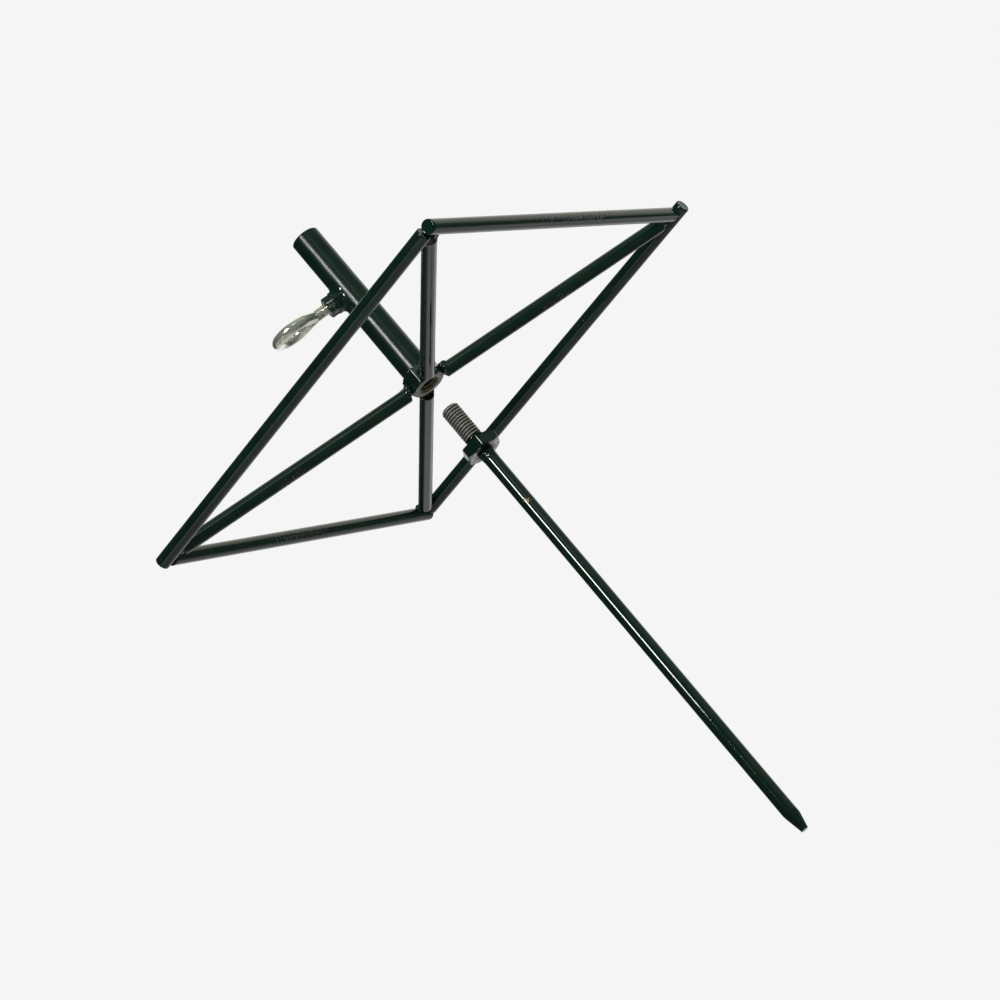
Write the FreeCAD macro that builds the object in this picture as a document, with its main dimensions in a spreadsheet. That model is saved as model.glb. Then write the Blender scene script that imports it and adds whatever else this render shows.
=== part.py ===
import FreeCAD, Part
import math
import os
import Sketcher

# Ground stand for a pole. A square frame of round bars with four spokes lies on the soil.
# A socket tube stands on the hub nut and holds the pole, which an eye bolt clamps.
# A ground spike hangs below the hub on its axis, unscrewed, with its screw end upwards.
# The origin is on the hub's axis, on the ground plane that the bars lie on. +Z is up.

DRIVING_DIMENSIONS = [
    # the square frame
    ("frame_side", 290.0),
    ("bar_dia", 10.0),
    ("bar_end_round", 0.8),
    ("butt_gap", 0.4),
    ("overhang_front_left", 2.0),
    ("overhang_front_right", 8.3),
    ("overhang_back_right", 4.0),
    ("overhang_back_left", 4.0),
    # the spokes, cut off square at both ends
    ("spoke_corner_gap", 12.4),
    ("spoke_start_front_left", 12.6),
    ("spoke_start_front_right", 13.9),
    ("spoke_start_back_right", 15.5),
    ("spoke_start_back_left", 14.4),
    # the hub nut and the spike bolt, a half inch size with 12 threads to the inch
    ("large_hex_flats", 23.4),
    ("hex_chamfer_angle", 30.0),
    ("hex_chamfer_inset", 0.3),
    ("hub_nut_base", 2.6),
    ("hub_nut_height", 12.1),
    ("hub_thread_dia", 12.86),
    ("hub_hex_angle", 15.0),
    # the socket tube
    ("tube_outer_dia", 20.0),
    ("tube_inner_dia", 16.0),
    ("tube_length", 122.0),
    ("tube_rim_round", 0.5),
    ("wall_hole_dia", 9.0),
    # the clamp nut and the eye bolt, both M8
    ("clamp_height", 87.0),
    ("clamp_azimuth", 130.0),
    ("small_hex_flats", 13.0),
    ("clamp_nut_start", 12.7),
    ("clamp_nut_height", 6.5),
    ("clamp_thread_dia", 8.16),
    ("eye_shank_dia", 8.0),
    ("eye_shank_start", 9.0),
    ("eye_thread_length", 15.5),
    ("eye_neck_length", 6.3),
    ("eye_pitch", 1.25),
    ("eye_thread_depth", 0.6),
    ("eye_ring_centre", 46.2),
    ("eye_ring_radius", 12.6),
    ("eye_wire_radius", 3.7),
    ("eye_roll", -9.0),
    # the spike
    ("spike_gap", 21.0),
    ("stud_dia", 12.7),
    ("stud_length", 30.0),
    ("stud_pitch", 2.1167),
    ("stud_thread_depth", 1.1),
    ("stud_tip_chamfer", 1.2),
    ("bolt_head_height", 8.0),
    ("bolt_head_angle", 38.0),
    ("spike_rod_length", 317.5),
    ("spike_point_length", 15.0),
    ("spike_point_dia", 4.6),
    # the welds
    ("tube_weld_leg", 1.7),
    ("spike_weld_radius", 8.2),
    ("spike_weld_length", 5.0),
    ("corner_weld_reach", 8.5),
    ("corner_weld_half_height", 4.6),
    ("corner_weld_inset", 7.5),
    ("hub_weld_reach", 6.0),
    ("hub_weld_half_height", 4.7),
    ("hub_weld_rise", 1.5),
    ("clamp_weld_base_radius", 9.0),
    ("clamp_weld_top_radius", 7.2),
    ("clamp_weld_length", 7.0),
]

STUD_THREADS = 13
EYE_THREADS = 11
QUARTER_TURN = 90
# a thread groove's half width, and how far its cutter stands out of the shank
GROOVE_HALF_SHARE = 0.42
CUTTER_MARGIN = 0.2
# where on its neck the eye starts to widen, and by how much of its wire
ROOT_START_SHARE = 0.8
ROOT_FLARE = 1.25
# a weld bead's outline: share of its reach, and share of its half height
BEAD_OUTLINE = [
    ("bottom", 0, -1),
    ("low_shoulder", 0.55, -0.9),
    ("low_rim", 1, -0.3),
    ("high_rim", 1, 0.3),
    ("high_shoulder", 0.55, 0.9),
    ("top", 0, 1),
]

doc = FreeCAD.newDocument("PoleGroundStand")


def add_dimension_sheet():
    """The spreadsheet that every size is bound to, one named cell for each dimension."""
    sheet = doc.addObject("Spreadsheet::Sheet", "dims")
    for row, (alias, value) in enumerate(DRIVING_DIMENSIONS, start=1):
        sheet.set(f"A{row}", alias)
        sheet.set(f"B{row}", str(value))
        sheet.setAlias(f"B{row}", alias)
    doc.recompute()
    return sheet


dims = add_dimension_sheet()


def size(alias):
    """A driving dimension's value, in mm or degrees, for a sketch's first guess."""
    return float(getattr(dims, alias))


def origin_feature(body, role):
    """One of the body's own origin planes or axes."""
    return [f for f in body.Origin.OriginFeatures if f.Role == role][0]


def new_body(label):
    body = doc.addObject("PartDesign::Body", label)
    body.Label = label
    return body


def place(obj, x="0", y="0", z="0", axis=(0, 0, 1), angle="0"):
    """Binds an object's placement: its position, and its turn about one axis."""
    obj.Placement = FreeCAD.Placement(
        FreeCAD.Vector(0, 0, 0), FreeCAD.Rotation(FreeCAD.Vector(*axis), 1)
    )
    obj.setExpression("Placement.Rotation.Angle", f"({angle}) * 1 deg")
    for name, formula in (("x", x), ("y", y), ("z", z)):
        obj.setExpression(f"Placement.Base.{name}", f"({formula}) * 1 mm")


def new_sketch(body, name, plane):
    sketch = body.newObject("Sketcher::SketchObject", name)
    sketch.AttachmentSupport = [(origin_feature(body, plane), "")]
    sketch.MapMode = "FlatFace"
    return sketch


def bind(sketch, constraint, name, formula):
    """Adds a dimension constraint, names it and binds it to a formula of the sheet."""
    index = sketch.addConstraint(constraint)
    sketch.renameConstraint(index, name)
    sketch.setExpression(f"Constraints.{name}", formula)


def add_circle(sketch, name, formula, guess):
    """A circle about the sketch's origin, its radius bound to a formula."""
    circle = Part.Circle(FreeCAD.Vector(0, 0, 0), FreeCAD.Vector(0, 0, 1), guess)
    index = sketch.addGeometry(circle, False)
    sketch.addConstraint(Sketcher.Constraint("Coincident", index, 3, -1, 1))
    bind(sketch, Sketcher.Constraint("Radius", index, guess), name, formula)
    return index


def add_hexagon(sketch, flats_alias):
    """A regular hexagon about the sketch's origin, one corner on its horizontal axis."""
    corner_radius = size(flats_alias) / math.sqrt(3)
    guide = add_circle(sketch, "corner_radius", f"dims.{flats_alias} / sqrt(3)", corner_radius)
    sketch.toggleConstruction(guide)
    corners = [
        FreeCAD.Vector(
            corner_radius * math.cos(math.radians(60 * k)),
            corner_radius * math.sin(math.radians(60 * k)),
            0,
        )
        for k in range(6)
    ]
    sides = [
        sketch.addGeometry(Part.LineSegment(corners[k], corners[(k + 1) % 6]), False)
        for k in range(6)
    ]
    for k, side in enumerate(sides):
        following = sides[(k + 1) % 6]
        sketch.addConstraint(Sketcher.Constraint("Coincident", side, 2, following, 1))
        sketch.addConstraint(Sketcher.Constraint("PointOnObject", side, 1, guide))
        if k > 0:
            sketch.addConstraint(Sketcher.Constraint("Equal", sides[0], side))
    sketch.addConstraint(Sketcher.Constraint("PointOnObject", sides[0], 1, -1))


def add_outline(sketch, points):
    """A closed polygon. Each point is (name, x formula, y formula, x guess, y guess)."""
    count = len(points)
    places = [FreeCAD.Vector(p[3], p[4], 0) for p in points]
    sides = [
        sketch.addGeometry(Part.LineSegment(places[k], places[(k + 1) % count]), False)
        for k in range(count)
    ]
    for k, side in enumerate(sides):
        following = sides[(k + 1) % count]
        sketch.addConstraint(Sketcher.Constraint("Coincident", side, 2, following, 1))
        name, x_formula, y_formula, x, y = points[k]
        fix_coordinate(sketch, side, "DistanceX", f"{name}_x", x_formula, x)
        fix_coordinate(sketch, side, "DistanceY", f"{name}_y", y_formula, y)


def fix_coordinate(sketch, side, kind, name, formula, guess):
    """Holds one coordinate of a side's first point: on an axis, or at a bound distance."""
    if formula == "0":
        axis = -2 if kind == "DistanceX" else -1
        sketch.addConstraint(Sketcher.Constraint("PointOnObject", side, 1, axis))
        return
    bind(sketch, Sketcher.Constraint(kind, -1, 1, side, 1, guess), name, formula)


def pad(body, sketch, name, length_formula):
    feature = body.newObject("PartDesign::Pad", name)
    feature.Profile = sketch
    feature.setExpression("Length", f"({length_formula}) * 1 mm")
    doc.recompute()
    return feature


def revolve(body, sketch, name, kind="PartDesign::Revolution", axis="V_Axis"):
    feature = body.newObject(kind, name)
    feature.Profile = sketch
    feature.ReferenceAxis = (sketch, [axis])
    feature.Angle = 360
    doc.recompute()
    return feature


def round_edges(body, base, name, edges, radius_formula):
    feature = body.newObject("PartDesign::Fillet", name)
    feature.Base = (base, edges)
    feature.setExpression("Radius", f"({radius_formula}) * 1 mm")
    doc.recompute()
    return feature


def circular_edges(shape, axis, at):
    """Names of the full-circle edges that lie at one place along an axis (0, 1 or 2)."""
    found = []
    for number, edge in enumerate(shape.Edges, start=1):
        centre = edge.BoundBox.Center
        flat = abs((edge.BoundBox.XLength, edge.BoundBox.YLength, edge.BoundBox.ZLength)[axis]) < 1e-6
        if flat and abs(centre[axis] - at) < 1e-6:
            found.append(f"Edge{number}")
    return found


def make_round_bar(label, length_formula):
    """A plain round bar along its own +X from its origin, with slightly rounded ends."""
    body = new_body(label)
    sketch = new_sketch(body, f"{label}_section", "YZ_Plane")
    add_circle(sketch, "radius", "dims.bar_dia / 2", size("bar_dia") / 2)
    solid = pad(body, sketch, f"{label}_run", length_formula)
    ends = circular_edges(solid.Shape, 0, 0) + circular_edges(
        solid.Shape, 0, solid.Shape.BoundBox.XMax
    )
    round_edges(body, solid, f"{label}_ends", ends, "dims.bar_end_round")
    return body


CORNERS = ["front_left", "front_right", "back_right", "back_left"]
SIDES = ["front", "right", "back", "left"]


def make_side_bar(number):
    """Side bar of the frame: free and overhanging at its first corner, and butted against
    the next bar at the other. The four are laid round the square one after another."""
    overhang = f"dims.overhang_{CORNERS[number]}"
    body = make_round_bar(
        f"side_bar_{SIDES[number]}",
        f"dims.frame_side + {overhang} - dims.bar_dia / 2 - dims.butt_gap",
    )
    turn = QUARTER_TURN * number
    start = f"(dims.frame_side / 2 + {overhang})"
    place(
        body,
        x=f"-cos({turn}) * {start} + sin({turn}) * dims.frame_side / 2",
        y=f"-sin({turn}) * {start} - cos({turn}) * dims.frame_side / 2",
        z="dims.bar_dia / 2",
        angle=str(turn),
    )
    return body


def corner_azimuth(number):
    """Direction from the hub to a corner of the frame, in degrees."""
    return QUARTER_TURN * number + 225


def make_spoke(number):
    """Spoke from beside the hub nut to the inside of a corner of the frame."""
    start = f"dims.spoke_start_{CORNERS[number]}"
    body = make_round_bar(
        f"spoke_{CORNERS[number]}",
        f"dims.frame_side / sqrt(2) - dims.spoke_corner_gap - {start}",
    )
    azimuth = corner_azimuth(number)
    place(
        body,
        x=f"cos({azimuth}) * {start}",
        y=f"sin({azimuth}) * {start}",
        z="dims.bar_dia / 2",
        angle=str(azimuth),
    )
    return body


def chamfer_hexagon(body, label, face_formula, face, inwards):
    """Cuts the corners of one hexagon face back to a cone. face is the face's height, and
    inwards is 1 where the solid lies above it and -1 where it lies below."""
    sketch = new_sketch(body, f"{label}_chamfer_section", "XZ_Plane")
    slope = math.tan(math.radians(size("hex_chamfer_angle")))
    flat_radius = size("large_hex_flats") / 2 - size("hex_chamfer_inset")
    outer_radius = size("large_hex_flats")
    rise = (outer_radius - flat_radius) * slope * inwards
    flat_formula = "dims.large_hex_flats / 2 - dims.hex_chamfer_inset"
    outer_formula = "dims.large_hex_flats"
    slope_formula = f"tan(dims.hex_chamfer_angle) * ({outer_formula} - ({flat_formula})) * {inwards}"
    add_outline(
        sketch,
        [
            ("inner", flat_formula, face_formula, flat_radius, face),
            ("outer", outer_formula, face_formula, outer_radius, face),
            ("side", outer_formula, f"{face_formula} + {slope_formula}", outer_radius, face + rise),
        ],
    )
    return revolve(body, sketch, f"{label}_chamfer", "PartDesign::Groove")


def make_hub_nut():
    """Large nut at the middle of the frame. Its thread takes the spike from below."""
    body = new_body("hub_nut")
    sketch = new_sketch(body, "hub_nut_section", "XY_Plane")
    add_hexagon(sketch, "large_hex_flats")
    add_circle(sketch, "bore_radius", "dims.hub_thread_dia / 2", size("hub_thread_dia") / 2)
    pad(body, sketch, "hub_nut_block", "dims.hub_nut_height")
    chamfer_hexagon(body, "hub_nut_top", "dims.hub_nut_height", size("hub_nut_height"), -1)
    chamfer_hexagon(body, "hub_nut_bottom", "0", 0, 1)
    place(body, z="dims.hub_nut_base", angle="dims.hub_hex_angle")
    return body


TUBE_BASE = "dims.hub_nut_base + dims.hub_nut_height"
CLAMP_X = "cos(dims.clamp_azimuth)"
CLAMP_Y = "sin(dims.clamp_azimuth)"


def place_on_clamp_axis(obj, distance):
    """Turns an object's own +X to the clamp's direction, a distance out from the hub's axis."""
    place(
        obj,
        x=f"{CLAMP_X} * ({distance})",
        y=f"{CLAMP_Y} * ({distance})",
        z="dims.clamp_height",
        angle="dims.clamp_azimuth",
    )


def make_socket_tube():
    """Tube that the pole stands in, with a hole in its wall for the eye bolt's end."""
    body = new_body("socket_tube")
    ring = new_sketch(body, "tube_section", "XY_Plane")
    add_circle(ring, "outer_radius", "dims.tube_outer_dia / 2", size("tube_outer_dia") / 2)
    add_circle(ring, "inner_radius", "dims.tube_inner_dia / 2", size("tube_inner_dia") / 2)
    solid = pad(body, ring, "tube_wall", "dims.tube_length")
    rim = circular_edges(solid.Shape, 2, size("tube_length"))
    rounded = round_edges(body, solid, "tube_rim", rim, "dims.tube_rim_round")
    hole = new_sketch(body, "wall_hole_section", "YZ_Plane")
    add_hole_circle(hole)
    pocket = body.newObject("PartDesign::Pocket", "wall_hole")
    pocket.Profile = hole
    pocket.Type = "Length"
    pocket.Reversed = True
    pocket.setExpression("Length", "dims.tube_outer_dia * 1 mm")
    doc.recompute()
    if pocket.Shape.Volume > rounded.Shape.Volume - 1:
        raise RuntimeError("the tube's wall hole cuts nothing")
    place(body, z=TUBE_BASE, angle="dims.clamp_azimuth")
    return body


def add_hole_circle(sketch):
    """The wall hole's circle, at the clamp's height above the tube's lower end."""
    height = size("clamp_height") - size("hub_nut_base") - size("hub_nut_height")
    radius = size("wall_hole_dia") / 2
    circle = Part.Circle(FreeCAD.Vector(0, height, 0), FreeCAD.Vector(0, 0, 1), radius)
    index = sketch.addGeometry(circle, False)
    sketch.addConstraint(Sketcher.Constraint("PointOnObject", index, 3, -2))
    bind(sketch, Sketcher.Constraint("Radius", index, radius), "radius", "dims.wall_hole_dia / 2")
    bind(
        sketch,
        Sketcher.Constraint("DistanceY", -1, 1, index, 3, height),
        "height",
        f"dims.clamp_height - ({TUBE_BASE})",
    )


def make_clamp_nut():
    """Small nut on the side of the tube, its thread pointing at the tube's axis."""
    body = new_body("clamp_nut")
    sketch = new_sketch(body, "clamp_nut_section", "YZ_Plane")
    add_hexagon(sketch, "small_hex_flats")
    add_circle(sketch, "bore_radius", "dims.clamp_thread_dia / 2", size("clamp_thread_dia") / 2)
    pad(body, sketch, "clamp_nut_block", "dims.clamp_nut_height")
    place_on_clamp_axis(body, "dims.clamp_nut_start")
    return body


def cut_threads(body, label, plane, axis, radius, pitch, depth, first, count):
    """Vee grooves round a shank, one for each turn of its thread. plane holds the groove's
    section, axis is the shank's, and first is the first groove's place along it. radius,
    pitch, depth and first are each a pair: a formula, and its value."""
    sketch = new_sketch(body, f"{label}_thread_section", plane)
    along_horizontal = axis == "X_Axis"
    half = (f"{pitch[0]} * {GROOVE_HALF_SHARE}", pitch[1] * GROOVE_HALF_SHARE)
    outer = (f"{radius[0]} + {CUTTER_MARGIN}", radius[1] + CUTTER_MARGIN)
    corners = [
        ("low", outer[0], f"{first[0]} - {half[0]}", outer[1], first[1] - half[1]),
        ("root", f"{radius[0]} - {depth[0]}", first[0], radius[1] - depth[1], first[1]),
        ("high", outer[0], f"{first[0]} + {half[0]}", outer[1], first[1] + half[1]),
    ]
    if along_horizontal:
        corners = [(name, v, u, y, x) for name, u, v, x, y in corners]
    add_outline(sketch, corners)
    groove = revolve(
        body,
        sketch,
        f"{label}_thread_groove",
        "PartDesign::Groove",
        "H_Axis" if along_horizontal else "V_Axis",
    )
    pattern = body.newObject("PartDesign::LinearPattern", f"{label}_thread")
    pattern.Originals = [groove]
    pattern.Direction = (origin_feature(body, axis), [""])
    pattern.Occurrences = count
    pattern.setExpression("Length", f"({pitch[0]}) * {count - 1} * 1 mm")
    body.Tip = pattern
    doc.recompute()
    return pattern


def named(alias):
    """A dimension as a pair: its formula and its value."""
    return (f"dims.{alias}", size(alias))


def make_eye_bolt_shank():
    """Threaded shank of the eye bolt, along its own +X, with its tip at its origin."""
    body = new_body("eye_bolt_shank")
    sketch = new_sketch(body, "eye_shank_section", "YZ_Plane")
    add_circle(sketch, "radius", "dims.eye_shank_dia / 2", size("eye_shank_dia") / 2)
    pad(body, sketch, "eye_shank_run", "dims.eye_thread_length")
    cut_threads(
        body,
        "eye",
        "XZ_Plane",
        "X_Axis",
        ("dims.eye_shank_dia / 2", size("eye_shank_dia") / 2),
        named("eye_pitch"),
        named("eye_thread_depth"),
        ("dims.eye_pitch * 1.2", size("eye_pitch") * 1.2),
        EYE_THREADS,
    )
    place_on_clamp_axis(body, "dims.eye_shank_start")
    return body


def make_eye_bolt_ring():
    """The eye bolt's ring and plain neck, along its own +X from the end of the thread."""
    start = "dims.eye_shank_start + dims.eye_thread_length"
    ring = doc.addObject("Part::Torus", "eye_ring_torus")
    ring.setExpression("Radius1", "dims.eye_ring_radius * 1 mm")
    ring.setExpression("Radius2", "dims.eye_wire_radius * 1 mm")
    place(ring, x=f"dims.eye_ring_centre - ({start})")
    neck = doc.addObject("Part::Cylinder", "eye_ring_neck")
    neck.setExpression("Radius", "dims.eye_shank_dia / 2 * 1 mm")
    neck.setExpression("Height", "dims.eye_neck_length * 1 mm")
    place(neck, axis=(0, 1, 0), angle="90")
    root = doc.addObject("Part::Cone", "eye_ring_root")
    root.setExpression("Radius1", "dims.eye_shank_dia / 2 * 1 mm")
    root.setExpression("Radius2", f"dims.eye_wire_radius * {ROOT_FLARE} * 1 mm")
    root.setExpression("Height", "dims.eye_wire_radius * 1 mm")
    place(root, x=f"dims.eye_neck_length * {ROOT_START_SHARE}", axis=(0, 1, 0), angle="90")
    eye = doc.addObject("Part::MultiFuse", "eye_bolt_ring")
    eye.Label = "eye_bolt_ring"
    eye.Shapes = [ring, neck, root]
    eye.Refine = False
    spin = FreeCAD.Rotation(FreeCAD.Vector(1, 0, 0), size("eye_roll"))
    turn = FreeCAD.Rotation(FreeCAD.Vector(0, 0, 1), size("clamp_azimuth"))
    eye.Placement = FreeCAD.Placement(FreeCAD.Vector(0, 0, 0), turn.multiply(spin))
    eye.setExpression("Placement.Base.x", f"{CLAMP_X} * ({start}) * 1 mm")
    eye.setExpression("Placement.Base.y", f"{CLAMP_Y} * ({start}) * 1 mm")
    eye.setExpression("Placement.Base.z", "dims.clamp_height * 1 mm")
    doc.recompute()
    return eye


HEAD_BASE = "dims.hub_nut_base - dims.spike_gap - dims.stud_length - dims.bolt_head_height"


def make_spike_bolt():
    """Hexagon bolt at the top of the spike. Its origin is on its head's lower face."""
    body = new_body("spike_bolt")
    head = new_sketch(body, "bolt_head_section", "XY_Plane")
    add_hexagon(head, "large_hex_flats")
    pad(body, head, "bolt_head", "dims.bolt_head_height")
    chamfer_hexagon(body, "bolt_head", "0", 0, 1)
    stud = new_sketch(body, "stud_section", "XY_Plane")
    add_circle(stud, "radius", "dims.stud_dia / 2", size("stud_dia") / 2)
    shank = pad(body, stud, "stud", "dims.bolt_head_height + dims.stud_length")
    top = size("bolt_head_height") + size("stud_length")
    tip = body.newObject("PartDesign::Chamfer", "stud_tip")
    tip.Base = (shank, circular_edges(shank.Shape, 2, top))
    tip.setExpression("Size", "dims.stud_tip_chamfer * 1 mm")
    doc.recompute()
    cut_threads(
        body,
        "stud",
        "XZ_Plane",
        "Z_Axis",
        ("dims.stud_dia / 2", size("stud_dia") / 2),
        named("stud_pitch"),
        named("stud_thread_depth"),
        (
            "dims.bolt_head_height + dims.stud_pitch",
            size("bolt_head_height") + size("stud_pitch"),
        ),
        STUD_THREADS,
    )
    place(body, z=HEAD_BASE, angle="dims.bolt_head_angle")
    return body


def make_spike_rod():
    """Round bar below the bolt head, turned to a blunt point. Its origin is at its top."""
    body = new_body("spike_rod")
    sketch = new_sketch(body, "spike_rod_section", "XZ_Plane")
    radius = ("dims.bar_dia / 2", size("bar_dia") / 2)
    point = ("dims.spike_point_dia / 2", size("spike_point_dia") / 2)
    end = ("-dims.spike_rod_length", -size("spike_rod_length"))
    shoulder = (f"{end[0]} + dims.spike_point_length", end[1] + size("spike_point_length"))
    add_outline(
        sketch,
        [
            ("top_axis", "0", "0", 0, 0),
            ("top", radius[0], "0", radius[1], 0),
            ("shoulder", radius[0], shoulder[0], radius[1], shoulder[1]),
            ("point", point[0], end[0], point[1], end[1]),
            ("end_axis", "0", end[0], 0, end[1]),
        ],
    )
    revolve(body, sketch, "spike_rod_turned")
    place(body, z=HEAD_BASE)
    return body


def make_fillet_ring(label, inner, outer, height):
    """A weld run round a vertical axis: a ring of triangular section that stands on its own
    XY plane, or hangs from it where the height is negative. Each size is a pair."""
    body = new_body(label)
    sketch = new_sketch(body, f"{label}_section", "XZ_Plane")
    add_outline(
        sketch,
        [
            ("inner", inner[0], "0", inner[1], 0),
            ("outer", outer[0], "0", outer[1], 0),
            ("climb", inner[0], height[0], inner[1], height[1]),
        ],
    )
    revolve(body, sketch, f"{label}_run")
    return body


def make_tube_weld():
    radius = size("tube_outer_dia") / 2
    leg = size("tube_weld_leg")
    body = make_fillet_ring(
        "tube_weld",
        ("dims.tube_outer_dia / 2", radius),
        ("dims.tube_outer_dia / 2 + dims.tube_weld_leg", radius + leg),
        ("dims.tube_weld_leg", leg),
    )
    place(body, z=TUBE_BASE)
    return body


def make_spike_weld():
    """Collar of weld between the bolt head and the rod, clear of both by a running fit."""
    fit = 0.05
    body = make_fillet_ring(
        "spike_weld",
        (f"dims.bar_dia / 2 + {fit}", size("bar_dia") / 2 + fit),
        ("dims.spike_weld_radius", size("spike_weld_radius")),
        ("-dims.spike_weld_length", -size("spike_weld_length")),
    )
    place(body, z=f"{HEAD_BASE} - {fit}")
    return body


def make_weld_bead(label, reach_alias, half_height_alias, centre, azimuth):
    """A weld bead before it is cut to fit: a flat round lump with sloping shoulders."""
    body = new_body(f"{label}_bead")
    sketch = new_sketch(body, f"{label}_section", "XZ_Plane")
    reach = f"dims.{reach_alias}"
    height = f"dims.{half_height_alias}"
    points = []
    for name, out, up in BEAD_OUTLINE:
        across = f"{reach} * {out}" if out else "0"
        guess = (size(reach_alias) * out, size(half_height_alias) * up)
        points.append((name, across, f"{height} * ({up})", *guess))
    add_outline(sketch, points)
    revolve(body, sketch, f"{label}_lump")
    place(body, x=centre[0], y=centre[1], z=centre[2], angle=azimuth)
    return body


def cut_neighbours(label, bead, neighbours):
    """A weld's own solid: its bead with the pieces that it lies against cut away."""
    joined = doc.addObject("Part::MultiFuse", f"{label}_neighbours")
    joined.Shapes = neighbours
    weld = doc.addObject("Part::Cut", label)
    weld.Label = label
    weld.Base = bead
    weld.Tool = joined
    doc.recompute()
    return weld


def make_corner_weld(number, side_bars, spokes):
    """Weld in the crotch between two side bars and the end of their spoke."""
    label = f"corner_weld_{CORNERS[number]}"
    azimuth = corner_azimuth(number)
    reach = "(dims.frame_side / sqrt(2) - dims.corner_weld_inset)"
    bead = make_weld_bead(
        label,
        "corner_weld_reach",
        "corner_weld_half_height",
        (f"cos({azimuth}) * {reach}", f"sin({azimuth}) * {reach}", "dims.bar_dia / 2"),
        str(azimuth),
    )
    return cut_neighbours(label, bead, [side_bars[number], side_bars[number - 1], spokes[number]])


def make_hub_weld(number, spokes, hub_nut, socket_tube, tube_weld):
    """Weld between the hub nut and the end of a spoke, mostly on its upper side."""
    label = f"hub_weld_{CORNERS[number]}"
    azimuth = corner_azimuth(number)
    reach = f"dims.spoke_start_{CORNERS[number]}"
    bead = make_weld_bead(
        label,
        "hub_weld_reach",
        "hub_weld_half_height",
        (
            f"cos({azimuth}) * {reach}",
            f"sin({azimuth}) * {reach}",
            "dims.bar_dia / 2 + dims.hub_weld_rise",
        ),
        str(azimuth),
    )
    return cut_neighbours(label, bead, [spokes[number], hub_nut, socket_tube, tube_weld])


def make_clamp_weld(clamp_nut):
    """Flared weld that closes the gap between the round tube and the flat clamp nut."""
    start = "dims.clamp_nut_start + 1 - dims.clamp_weld_length"
    bead = doc.addObject("Part::Cone", "clamp_weld_bead")
    bead.setExpression("Radius1", "dims.clamp_weld_base_radius * 1 mm")
    bead.setExpression("Radius2", "dims.clamp_weld_top_radius * 1 mm")
    bead.setExpression("Height", "dims.clamp_weld_length * 1 mm")
    bead.Placement = FreeCAD.Placement(
        FreeCAD.Vector(0, 0, 0),
        FreeCAD.Rotation(FreeCAD.Vector(0, 0, 1), size("clamp_azimuth")).multiply(
            FreeCAD.Rotation(FreeCAD.Vector(0, 1, 0), 90)
        ),
    )
    bead.setExpression("Placement.Base.x", f"{CLAMP_X} * ({start}) * 1 mm")
    bead.setExpression("Placement.Base.y", f"{CLAMP_Y} * ({start}) * 1 mm")
    bead.setExpression("Placement.Base.z", "dims.clamp_height * 1 mm")
    tube = doc.addObject("Part::Cylinder", "clamp_weld_tube")
    tube.setExpression("Radius", "dims.tube_outer_dia / 2 * 1 mm")
    tube.setExpression("Height", "dims.tube_length * 1 mm")
    place(tube, z=TUBE_BASE)
    way = doc.addObject("Part::Cylinder", "clamp_weld_way")
    way.setExpression("Radius", "dims.wall_hole_dia / 2 * 1 mm")
    way.setExpression("Height", "dims.clamp_nut_start * 1.5 * 1 mm")
    way.Placement = FreeCAD.Placement(bead.Placement)
    way.setExpression("Placement.Base.z", "dims.clamp_height * 1 mm")
    return cut_neighbours("clamp_weld", bead, [tube, way, clamp_nut])


def check(objects):
    """Stops if any feature failed or any sub-part's shape is missing or invalid."""
    for obj in doc.Objects:
        if "Invalid" in obj.State or "Error" in obj.State:
            raise RuntimeError(f"{obj.Label} failed: {obj.State}")
    for obj in objects:
        if obj.Shape.isNull() or not obj.Shape.isValid():
            raise RuntimeError(f"{obj.Label} has no valid shape")


side_bars = [make_side_bar(number) for number in range(4)]
spokes = [make_spoke(number) for number in range(4)]
hub_nut = make_hub_nut()
socket_tube = make_socket_tube()
clamp_nut = make_clamp_nut()
eye_bolt_shank = make_eye_bolt_shank()
eye_bolt_ring = make_eye_bolt_ring()
spike_bolt = make_spike_bolt()
spike_rod = make_spike_rod()
tube_weld = make_tube_weld()
spike_weld = make_spike_weld()
doc.recompute()
corner_welds = [make_corner_weld(number, side_bars, spokes) for number in range(4)]
hub_welds = [
    make_hub_weld(number, spokes, hub_nut, socket_tube, tube_weld) for number in range(4)
]
clamp_weld = make_clamp_weld(clamp_nut)
doc.recompute()

sub_parts = side_bars + spokes + corner_welds + hub_welds
sub_parts += [hub_nut, socket_tube, tube_weld, clamp_nut, clamp_weld]
sub_parts += [eye_bolt_shank, eye_bolt_ring, spike_bolt, spike_weld, spike_rod]
check(sub_parts)

os.makedirs("parts", exist_ok=True)
for sub_part in sub_parts:
    sub_part.Shape.exportStep(f"parts/{sub_part.Label}.step")
    box = sub_part.Shape.BoundBox
    print(
        f"{sub_part.Label}: {len(sub_part.Shape.Solids)} solid, {sub_part.Shape.Volume:.0f} mm3,"
        f" z {box.ZMin:.1f} to {box.ZMax:.1f}"
    )
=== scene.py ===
import math

import bmesh
import bpy
from mathutils import Matrix, Vector, noise


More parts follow.
